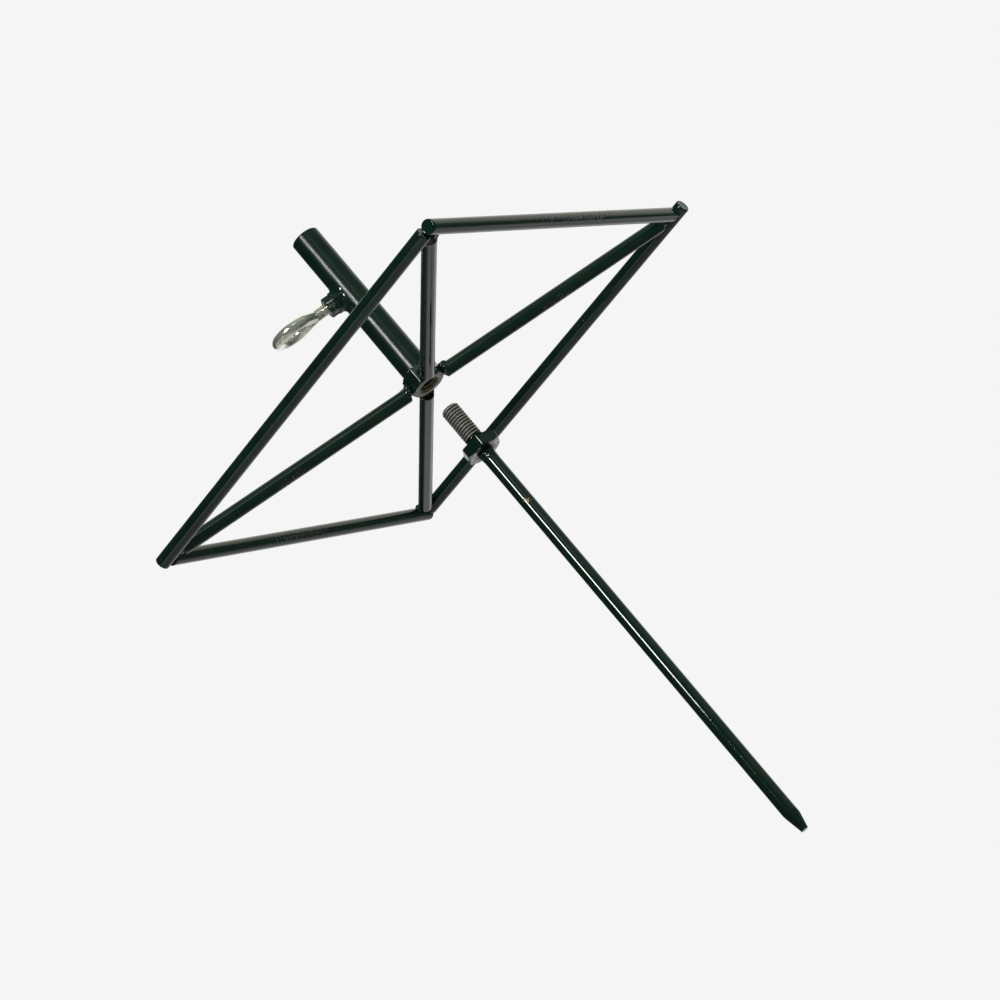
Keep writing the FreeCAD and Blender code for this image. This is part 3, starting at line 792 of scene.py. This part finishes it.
clamp_low, clamp_high = box("clamp_nut")
CLAMP_HEIGHT = (clamp_low.z + clamp_high.z) / 2
CLAMP_TURN = math.radians(130.0)
CLAMP_OUT = Vector((math.cos(CLAMP_TURN), math.sin(CLAMP_TURN), 0))
CLAMP_SIDE, CLAMP_TOP, _ = axes_of(CLAMP_OUT)
CLAMP_ORIGIN = Vector((0, 0, CLAMP_HEIGHT))
SMALL_FLATS = 13.0
NUT_FACE = 19.2
NUT_BACK = 12.7
NUT_BORE = 4.18
NUT_CORNER = 7.22
WALL_HOLE = 4.5


def clamp_ring(distance, reach, count=96):
    """A ring round the clamp's axis, a distance out from the hub's."""
    ring = []
    for i in range(count):
        turn = 2 * math.pi * i / count
        out = turned(turn, CLAMP_SIDE, CLAMP_TOP)
        ring.append(CLAMP_ORIGIN + CLAMP_OUT * distance + out * reach(turn, distance))
    return ring


def make_socket_tube():
    """The socket tube, open at both ends, with the eye bolt's hole in its wall."""
    outer, inner = 10.0, 8.0
    low, high = tube_low.z, tube_high.z
    rim = 0.5
    count = 120

    def shell(base, seed, back):
        def reach(turn, z):
            p = Vector((base * math.cos(turn), base * math.sin(turn), z))
            wave = wander(p, 11, seed) * 0.045 + wander(p, 3.0, seed + 1) * 0.018
            return base + wave - back

        return reach

    outside, inside = shell(outer, 71, 0.08), shell(inner, 73, 0.0)
    rings = [ring_at(z, outside, count) for z in spaced(low, high - rim, 120)]
    for k in range(1, 6):
        turn = math.radians(18 * k)
        z = high - rim + rim * math.sin(turn)
        rings.append(ring_at(z, lambda t, h, c=rim * (1 - math.cos(turn)): outside(t, h) - c, count))
    rings.append(ring_at(high, lambda t, h: (outer + inner) / 2, count))
    for k in range(5):
        turn = math.radians(90 - 18 * k)
        z = high - rim + rim * math.sin(turn)
        rings.append(ring_at(z, lambda t, h, c=rim * (1 - math.cos(turn)): inside(t, h) + c, count))
    rings += [ring_at(z, inside, count) for z in spaced(high - rim - 0.5, low, 60)]
    whole = skin("socket_tube_whole", rings, closed=True)
    inside_end, outside_end = CLAMP_ORIGIN + CLAMP_OUT * 3, CLAMP_ORIGIN + CLAMP_OUT * 14
    mesh = drilled("socket_tube_mesh", whole, inside_end, outside_end, WALL_HOLE)
    finish_piece("painted_tube", mesh, [TUBE_PAINT], "frame", ["socket_tube"])


make_socket_tube()


def make_clamp_nut():
    """The small nut, with bare bright steel along some of its corners: a painted highlight, the white
    line where the key light glints on its edge.
    """

    def outside(turn, x):
        r = hexagon_reach(turn, SMALL_FLATS, 0.0, 70)
        nearest_corner = (turn + math.radians(30)) % math.radians(60) - math.radians(30)
        r = min(r, NUT_CORNER / math.cos(nearest_corner))
        r = min(r, SMALL_FLATS / 2 + 0.25 + (NUT_FACE - x) * CHAMFER_SLOPE)
        p = CLAMP_ORIGIN + CLAMP_OUT * x + turned(turn, CLAMP_SIDE, CLAMP_TOP) * r
        return r - 0.04 + wander(p, 5, 81) * 0.05

    def bore(turn, x):
        return NUT_BORE

    wall = spaced(NUT_BACK, NUT_FACE, 24)
    rings = [clamp_ring(x, outside, 180) for x in wall]
    rings += [
        clamp_ring(NUT_FACE, lambda t, x, f=f: outside(t, x) * (1 - f) + bore(t, x) * f, 180)
        for f in (0.12, 0.5, 0.85)
    ]
    rings += [clamp_ring(x, bore, 180) for x in spaced(NUT_FACE - 0.2, NUT_BACK, 8)]
    mesh = skin("clamp_nut_mesh", rings, closed=True)
    # bare bright steel on the corners on the key light's side: a painted highlight along the nut's
    # edge
    for polygon in mesh.polygons:
        away = polygon.center / MM - CLAMP_ORIGIN
        turn = math.atan2(away.dot(CLAMP_TOP), away.dot(CLAMP_SIDE))
        on_corner = abs((math.degrees(turn) + 30) % 60 - 30) < 3.6
        on_side = away.dot(CLAMP_OUT) < NUT_FACE - 0.3
        glinting = math.cos(turn) < 0.6 * wander(away, 6.0, 83) - 0.2
        if on_corner and on_side and glinting:
            polygon.material_index = 1
    finish_piece(
        "clamp_nut_painted", mesh, [WELD_PAINT, BRIGHT_STEEL], "frame", ["clamp_nut"], 30
    )


def make_eye_shank():
    """The eye bolt's shank: its thread, and the plain stretch next to the eye."""
    start, stop = 9.05, 24.5
    thread_stop, plain_start = 21.9, 23.2
    crest, root, pitch = 3.98, 3.30, 1.25
    count = 84

    def outside(turn, x):
        # the turn runs the other way round the inward-pointing axis of a right-hand screw
        thread = thread_reach(-x, -turn, crest, root, pitch)
        fade = smooth(x, thread_stop, plain_start)
        r = thread * (1 - fade) + (crest - 0.12) * fade
        r = min(r, crest - 0.8 + (x - start) * 1.0)
        p = CLAMP_ORIGIN + CLAMP_OUT * x + turned(turn, CLAMP_SIDE, CLAMP_TOP) * r
        return r + wander(p, 1.5, 91) * 0.03

    xs = spaced(start, stop, 170)
    rings = [clamp_ring(start, lambda t, x: 0.1, count)]
    rings += [clamp_ring(x, outside, count) for x in xs]
    rings += [clamp_ring(stop, lambda t, x: 0.2, count)]
    mesh = skin("eye_shank_mesh", rings)
    finish_piece("eye_shank_zinc", mesh, [ZINC], "eye_screw", ["eye_bolt_shank"], 50)


def make_eye_ring():
    """The forged eye: a ring drawn out into a teardrop where it meets its neck."""
    roll = math.radians(-9.0)
    # the ring's plane holds the clamp's axis; across is the other direction in it
    across = (-CLAMP_SIDE) * math.cos(roll) + CLAMP_TOP * math.sin(roll)
    centre, ring_radius, wire = 46.2, 12.6, 3.65
    neck_start, root = 24.52, 28.0
    apart = centre - root
    lean = math.asin(ring_radius / apart)

    def at(x, y):
        return CLAMP_ORIGIN + CLAMP_OUT * x + across * y

    def solids(work):
        rod_between(work, at(neck_start, 0), at(root + 2.5, 0), 3.9, 4.0, 72)
        rod_between(work, at(root, 0), at(root + 6.5, 0), 4.0, 4.9, 72)
        open_from = math.radians(180) - (math.radians(90) - lean)
        steps = 90
        turns = [-open_from + 2 * open_from * k / steps for k in range(steps + 1)]
        loop = [(centre + ring_radius * math.cos(t), ring_radius * math.sin(t)) for t in turns]
        path = [(root + 1.5, -1.2)] + loop + [(root + 1.5, 1.2)]
        swept(work, [at(x, y) for x, y in path], CLAMP_OUT.cross(across), wire)

    mesh = remeshed("eye_ring_mesh", solids, 0.30, 10, 0.03, 95)
    finish_piece("eye_ring_zinc", mesh, [ZINC], "eye", ["eye_bolt_ring"], 80)


make_clamp_nut()
make_eye_shank()
make_eye_ring()


# ---------------------------------------------------------------- welds


# How far each corner's weld reaches back along its spoke, and how much of it shows below.
CORNER_REACH = {"front_left": 4.2, "front_right": 1.0, "back_right": 0.0, "back_left": 0.8}
CORNER_LOW = {"front_left": 1.0, "front_right": 0.9, "back_right": 0.0, "back_left": 0.8}


def corner_weld(number):
    """The weld between two side bars and the end of their corner's spoke."""
    corner = CORNERS[number]
    spoke_start, spoke_end, _ = bar_line(f"spoke_{corner}")
    out = (spoke_end - spoke_start).normalized()
    side = out.cross(UP)
    seed = 100 + 5 * number
    reach, low = CORNER_REACH[corner], CORNER_LOW[corner]

    def solids(work):
        for across in (-1, 1):
            drift = 0.5 * wander(Vector((across, number, 0)), 1, seed)
            place = spoke_end + side * across * 4.3 - out * (0.6 + drift) + UP * (1.2 - low)
            ball(work, place, (2.2, 2.7 + drift, 2.9), side * across - out)
        ball(work, spoke_end + out * 1.6 + UP * (1.4 - 1.4 * low), (4.6, 3.5, 2.9), out)
        ball(work, spoke_end + out * 0.6 + side * 1.6 + UP * 2.4, (3.0, 2.2, 2.6), out)
        if reach > 0:
            ball(work, spoke_end - out * (reach / 2 - 0.6) - UP * 0.1, (5.2, 4.8, reach), out)
        if corner == "front_right":
            # the outer notch beside the overhanging bar is filled as well
            notch = Vector((spoke_end.x + 6.6, spoke_end.y - 11.6, 3.6))
            ball(work, notch, (2.9, 2.9, 4.4), Vector((1, 0, 0)))

    mesh = remeshed(f"corner_weld_{corner}_mesh", solids, 0.42, 3, 0.22, seed)
    finish_piece(
        f"weld_{corner}", mesh, [WELD_PAINT], "frame", [f"corner_weld_{corner}"], 80
    )


def hub_weld(number):
    """The weld that fills the gap between the hub nut and a spoke's inner end."""
    corner = CORNERS[number]
    spoke_start, spoke_end, _ = bar_line(f"spoke_{corner}")
    out = (spoke_end - spoke_start).normalized()
    side = out.cross(UP)
    turn = math.atan2(out.y, out.x)
    reach = hexagon_reach(turn, HEX_FLATS, HUB_CORNERS)
    gap = Vector((spoke_start.x, spoke_start.y, 0)).length - reach
    seed = 140 + 5 * number

    def at(distance, across, height):
        return out * distance + side * across + UP * height

    def solids(work):
        edge = reach + gap
        ball(work, at(reach + gap * 0.4, 0, 6.8), (4.6, 4.0, 2.2 + gap * 0.5), out)
        ball(work, at(edge + 1.4, 1.2, 9.0), (3.4, 1.8, 3.0), out)
        ball(work, at(reach + 0.2, -2.4, 8.4), (2.8, 2.6, 1.7 + gap * 0.4), out)
        ball(work, at(edge + 0.7, -3.6, 5.6), (1.9, 2.8, 2.1), out)
        ball(work, at(edge + 0.5, 3.7, 5.4), (1.9, 2.6, 2.0), out)
        ball(work, at(reach + 0.1, 3.3, 8.0), (2.2, 2.3, 1.6), out)

    mesh = remeshed(f"hub_weld_{corner}_mesh", solids, 0.38, 3, 0.30, seed)
    finish_piece(
        f"hub_bead_{corner}", mesh, [WELD_PAINT], "frame", [f"hub_weld_{corner}"], 80
    )


def make_tube_weld():
    """The ring of weld between the hub nut and the foot of the tube."""
    base = tube_low.z

    def solids(work):
        count = 30
        for k in range(count):
            turn = 2 * math.pi * k / count
            size = 1.35 + 0.30 * math.sin(2.7 * k) * math.cos(1.3 * k)
            out = Vector((math.cos(turn), math.sin(turn), 0))
            ball(work, out * 10.25 + UP * (base + 0.30), (1.9, size * 0.85, size), out)

    mesh = remeshed("tube_weld_mesh", solids, 0.34, 3, 0.18, 171)
    finish_piece("weld_tube_foot", mesh, [WELD_PAINT], "frame", ["tube_weld"], 80)


def make_clamp_weld():
    """Skirt of weld that flares from the small nut's back down onto the round tube."""
    count = 96
    # distances from the hub's axis: the skirt's edge, just under the tube's skin, then its
    # back, inside the wall, and then where it meets the nut
    outer, middle, nut_end = 9.9, 9.0, 13.6

    def foot(turn):
        # the skirt runs further along the tube than round it
        along_tube = abs(math.sin(turn))
        upward = max(0.0, math.sin(turn)) ** 4
        return 8.3 + 1.7 * along_tube + 0.5 * math.sin(3 * turn + 0.6) + 2.6 * upward

    def skirt(share):
        ring = []
        for i in range(count):
            turn = 2 * math.pi * i / count
            out = turned(turn, CLAMP_SIDE, CLAMP_TOP)
            top_reach = hexagon_reach(turn, SMALL_FLATS + 0.9, 0.0)
            reach = top_reach + (foot(turn) - top_reach) * share**2.4
            across = reach * math.cos(turn)
            surface = math.sqrt(max(1.0, outer**2 - across**2))
            place = surface + (nut_end - surface) * (1 - share) ** 1.35
            point = CLAMP_ORIGIN + CLAMP_OUT * place + out * reach
            lump = wander(point, 3.0, 181) * 0.22 + wander(point, 1.3, 182) * 0.06
            ring.append(point + (out + CLAMP_OUT).normalized() * lump * smooth(share, 0, 0.2))
        return ring

    def in_wall(reach):
        """A ring halfway through the tube's wall, where the weld's back is."""
        ring = []
        for i in range(count):
            turn = 2 * math.pi * i / count
            place = math.sqrt(middle**2 - (reach * math.cos(turn)) ** 2)
            out = turned(turn, CLAMP_SIDE, CLAMP_TOP)
            ring.append(CLAMP_ORIGIN + CLAMP_OUT * place + out * reach)
        return ring

    rings = [clamp_ring(12.8, lambda t, x: 4.5, count), clamp_ring(13.5, lambda t, x: 5.6, count)]
    rings += [skirt(share) for share in spaced(0.0, 1.0, 20)]
    rings += [in_wall(7.0), in_wall(4.7)]
    mesh = skin("clamp_weld_mesh", rings, closed=True)
    finish_piece("weld_clamp_skirt", mesh, [WELD_PAINT], "frame", ["clamp_weld"], 80)


def make_spike_weld():
    """Weld run round the rod under the bolt head, thinning out down the rod."""
    top = bolt_low.z
    runs = ((4.35, 0.9, 1.55), (4.15, 2.9, 1.45), (4.0, 5.2, 1.30), (4.0, 7.3, 1.12))

    def solids(work):
        count = 22
        for number, (reach, drop, size) in enumerate(runs):
            for k in range(count):
                turn = 2 * math.pi * (k + 0.5 * (number % 2)) / count
                out = Vector((math.cos(turn), math.sin(turn), 0))
                lift = 0.45 * math.sin(1.9 * k + 2.3 * number)
                ball(work, out * reach + UP * (top - drop - lift), (size, size * 1.1, size), out)

    mesh = remeshed("spike_weld_mesh", solids, 0.36, 3, 0.16, 191)
    finish_piece(
        "weld_spike_collar", mesh, [WELD_PAINT], "spike_screw", ["spike_weld"], 80
    )


for number in range(4):
    corner_weld(number)
    hub_weld(number)
make_tube_weld()
make_clamp_weld()
make_spike_weld()


# ---------------------------------------------------------------- camera, light and floor

# The camera stands low and to the left of the front, and is rolled to one side.
AZIMUTH, ELEVATION, ROLL = math.radians(-61.648), math.radians(-18.214), math.radians(-40.069)
DISTANCE = 2.18549
AIM = Vector((0.016826, 0.023482, -0.07889))

back = Vector(
    (
        math.sin(AZIMUTH) * math.cos(ELEVATION),
        -math.cos(AZIMUTH) * math.cos(ELEVATION),
        math.sin(ELEVATION),
    )
)
level = Vector((math.cos(AZIMUTH), math.sin(AZIMUTH), 0))
upright = back.cross(level)
right = level * math.cos(ROLL) + upright * math.sin(ROLL)
above = back.cross(right)

camera_data = bpy.data.cameras.new("camera")
camera_data.sensor_width = 36.0
camera_data.lens = 122.8
camera_data.clip_start, camera_data.clip_end = 0.05, 60.0
camera = bpy.data.objects.new("camera", camera_data)
camera.matrix_world = Matrix.Translation(AIM + back * DISTANCE) @ Matrix(
    (right, above, back)
).transposed().to_4x4()
bpy.context.scene.collection.objects.link(camera)
bpy.context.scene.camera = camera


def toward(across, up, nearer):
    """A direction in the room, from its share to the right, up and towards the camera."""
    return (right * across + above * up + back * nearer).normalized()


def soft_light(name, direction, width, height, radiance, distance=3.0, mirrored=True):
    """A light that faces the object, as bright as radiance where it is seen. One that is
    not mirrored only fills shade, and leaves no reflection in the gloss."""
    data = bpy.data.lights.new(name, "AREA")
    data.shape = "RECTANGLE"
    data.size, data.size_y = width, height
    data.energy = radiance * math.pi * width * height
    light = bpy.data.objects.new(name, data)
    light.location = AIM + direction * distance
    light.rotation_mode = "QUATERNION"
    light.rotation_quaternion = (-direction).to_track_quat("-Z", "Y")
    light.visible_camera = False
    light.visible_glossy = mirrored
    bpy.context.scene.collection.objects.link(light)


KEY_AZIMUTH, KEY_ELEVATION = math.radians(280.5), math.radians(19.0)
key = Vector(
    (
        math.sin(KEY_AZIMUTH) * math.cos(KEY_ELEVATION),
        -math.cos(KEY_AZIMUTH) * math.cos(KEY_ELEVATION),
        math.sin(KEY_ELEVATION),
    )
)
soft_light("key_light", key, 0.62, 0.95, 38.0)
soft_light("top_softbox", toward(-0.12, 0.75, 0.65), 1.0, 1.0, 0.75)
soft_light("low_softbox", toward(-0.42, -0.68, 0.60), 1.0, 1.0, 0.50)
soft_light("top_fill", toward(0.0, 0.9, 0.42), 1.6, 1.6, 5.6, mirrored=False)
soft_light("side_fill", toward(0.78, -0.32, 0.50), 1.6, 1.6, 3.4, mirrored=False)


def room_light():
    """The pale room: white behind the object, dim to the sides, paler above and below."""
    world = bpy.data.worlds.new("room")
    world.use_nodes = True
    tree = world.node_tree
    nodes, links = tree.nodes, tree.links
    surface = nodes["Background"]
    way = nodes.new("ShaderNodeTexCoord").outputs["Generated"]

    def share(direction, low, high):
        dot = nodes.new("ShaderNodeVectorMath")
        dot.operation = "DOT_PRODUCT"
        links.new(way, dot.inputs[0])
        dot.inputs[1].default_value = direction
        span = nodes.new("ShaderNodeMapRange")
        span.interpolation_type = "SMOOTHSTEP"
        span.inputs["From Min"].default_value = low
        span.inputs["From Max"].default_value = high
        links.new(dot.outputs["Value"], span.inputs["Value"])
        return span.outputs["Result"]

    def maths(operation, first, second):
        """One step of arithmetic on two values, each an output or a number."""
        node = nodes.new("ShaderNodeMath")
        node.operation = operation
        for value, socket in ((first, node.inputs[0]), (second, node.inputs[1])):
            if isinstance(value, float):
                socket.default_value = value
            else:
                links.new(value, socket)
        return node.outputs[0]

    # a white sweep behind the object, but not far to the left, with a dark gap at the right
    left_edge = right * 0.97 + above * 0.25
    sweep = maths("MULTIPLY", share(-back, 0.38, 0.53), share(left_edge, -0.42, -0.27))
    height = above + back * 0.19
    gap = maths("MULTIPLY", share(height, -0.26, -0.06), share(-height, -0.24, -0.06))
    gap = maths("MULTIPLY", gap, share(right, 0.80, 0.88))
    sweep = maths("MULTIPLY", sweep, maths("SUBTRACT", 1.0, gap))
    # it is weaker high up and low down, except straight behind the object
    lit = sweep
    lower, upper = share(-height, 0.20, 0.50), share(height, 0.30, 0.60)
    dim = maths("ADD", maths("MULTIPLY", lower, 0.48), maths("MULTIPLY", upper, 0.24))
    dim = maths("MULTIPLY", dim, maths("SUBTRACT", 1.0, share(-back, 0.72, 0.92)))
    sweep = maths("MULTIPLY", sweep, maths("SUBTRACT", 1.0, dim))
    # the rest of the room: dim, a little paler to the right, above and below
    total = maths("ADD", maths("MULTIPLY", sweep, 0.88), 0.055)
    total = maths("ADD", total, maths("MULTIPLY", share(right, -0.35, 0.45), 0.07))
    total = maths("ADD", total, maths("MULTIPLY", share(above, 0.62, 0.86), 0.20))
    total = maths("ADD", total, maths("MULTIPLY", share(-above, 0.62, 0.86), 0.31))
    total = maths("MINIMUM", total, 1.05)
    seen = nodes.new("ShaderNodeLightPath").outputs["Is Camera Ray"]
    level_of = nodes.new("ShaderNodeMix")
    level_of.data_type = "FLOAT"
    links.new(seen, level_of.inputs["Factor"])
    links.new(total, level_of.inputs[2])
    level_of.inputs[3].default_value = 0.915
    links.new(level_of.outputs[0], surface.inputs["Strength"])
    # light from above is warm, and the dim parts of the room are faintly green
    warm = nodes.new("ShaderNodeMix")
    warm.data_type = "RGBA"
    unseen = maths("SUBTRACT", 1.0, seen)
    links.new(maths("MULTIPLY", share(above, 0.35, 0.7), unseen), warm.inputs["Factor"])
    warm.inputs[6].default_value = (1, 1, 1, 1)
    warm.inputs[7].default_value = (1.0, 1.0, 0.84, 1)
    tinted = nodes.new("ShaderNodeMix")
    tinted.data_type = "RGBA"
    unlit = maths("SUBTRACT", 1.0, maths("MAXIMUM", lit, share(-above, 0.45, 0.75)))
    links.new(maths("MULTIPLY", unlit, unseen), tinted.inputs["Factor"])
    links.new(warm.outputs[2], tinted.inputs[6])
    tinted.inputs[7].default_value = (0.80, 1.0, 0.86, 1)
    links.new(tinted.outputs[2], surface.inputs["Color"])
    bpy.context.scene.world = world


# in metres
FLOOR_LEVEL, FLOOR_HALF_WIDTH = -2.8, 14


def pale_floor():
    """A plain pale floor, far enough below to stay out of the low camera's way."""
    n = Nodes("pale_floor")
    n.set(Base_Color=n.ramp(n.noise(900, 2), [(0.3, (0.30, 0.30, 0.30)), (0.7, (0.33, 0.33, 0.33))]))
    n.set(Roughness=0.9, Emission_Color=(1, 1, 1), Emission_Strength=0.81)
    work = bmesh.new()
    bmesh.ops.create_grid(work, x_segments=8, y_segments=8, size=FLOOR_HALF_WIDTH)
    mesh = bpy.data.meshes.new("floor")
    work.to_mesh(mesh)
    work.free()
    mesh.materials.append(n.material)
    floor = bpy.data.objects.new("floor", mesh)
    floor.location.z = FLOOR_LEVEL
    for ray in ("visible_glossy", "visible_diffuse", "visible_shadow", "visible_transmission"):
        setattr(floor, ray, False)
    bpy.context.scene.collection.objects.link(floor)


room_light()
pale_floor()
bpy.context.scene.view_settings.view_transform = "Standard"
